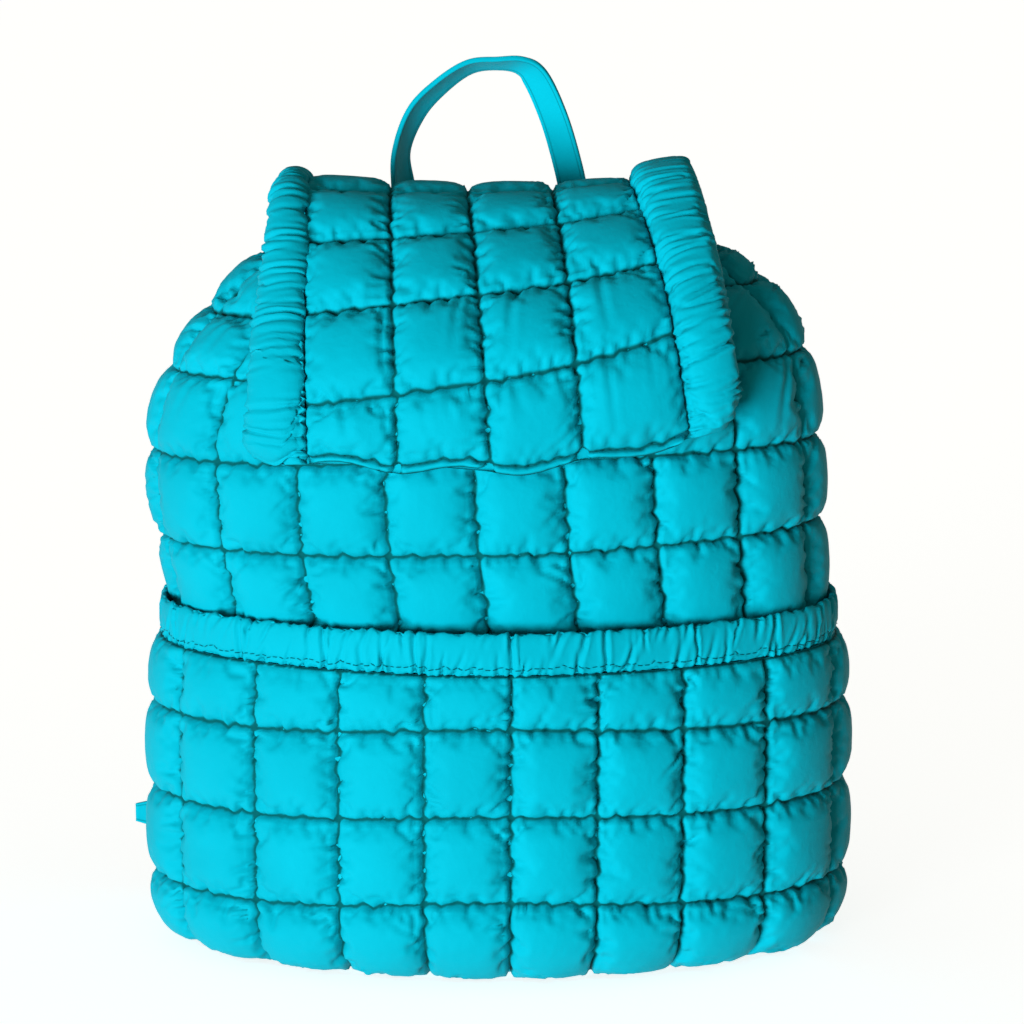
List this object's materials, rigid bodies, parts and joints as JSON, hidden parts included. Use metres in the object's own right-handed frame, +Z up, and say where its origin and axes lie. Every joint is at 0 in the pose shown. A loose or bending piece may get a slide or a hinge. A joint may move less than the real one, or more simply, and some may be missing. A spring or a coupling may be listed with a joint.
{
  "type": "quilted puffer backpack",
  "caption": "Square-quilted padded cloth backpack with a gathered neck under a ruched-edge flap, a wrap-round front pocket with an elastic mouth, a carrying loop and shoulder straps.",
  "frame": {"origin": "on the floor under the middle of the base", "axes": "+Z up, the front pocket and the flap's hem face -Y, the shoulder straps face +Y, +X to the right of someone who looks at the front"},
  "size_m": [0.374, 0.249, 0.437],
  "materials": {
    "padded_cloth": "smooth nylon with a soft sheen",
    "tape": "woven nylon tape",
    "moulding": "satin"
  },
  "bodies": {
    "root": {"body_front": "padded_cloth", "back_panel": "padded_cloth", "base_panel": "padded_cloth", "front_pocket": "padded_cloth", "pocket_casing": "padded_cloth", "neck_casing": "padded_cloth", "flap": "padded_cloth", "flap_binding_left": "padded_cloth", "flap_binding_right": "padded_cloth", "top_loop": "tape", "strap_pad_left": "padded_cloth", "strap_pad_right": "padded_cloth", "strap_web_left": "tape", "strap_web_right": "tape", "strap_slider_left": "moulding", "strap_slider_right": "moulding", "strap_tab_left": "padded_cloth", "strap_tab_right": "padded_cloth"}
  },
  "joints": []
}
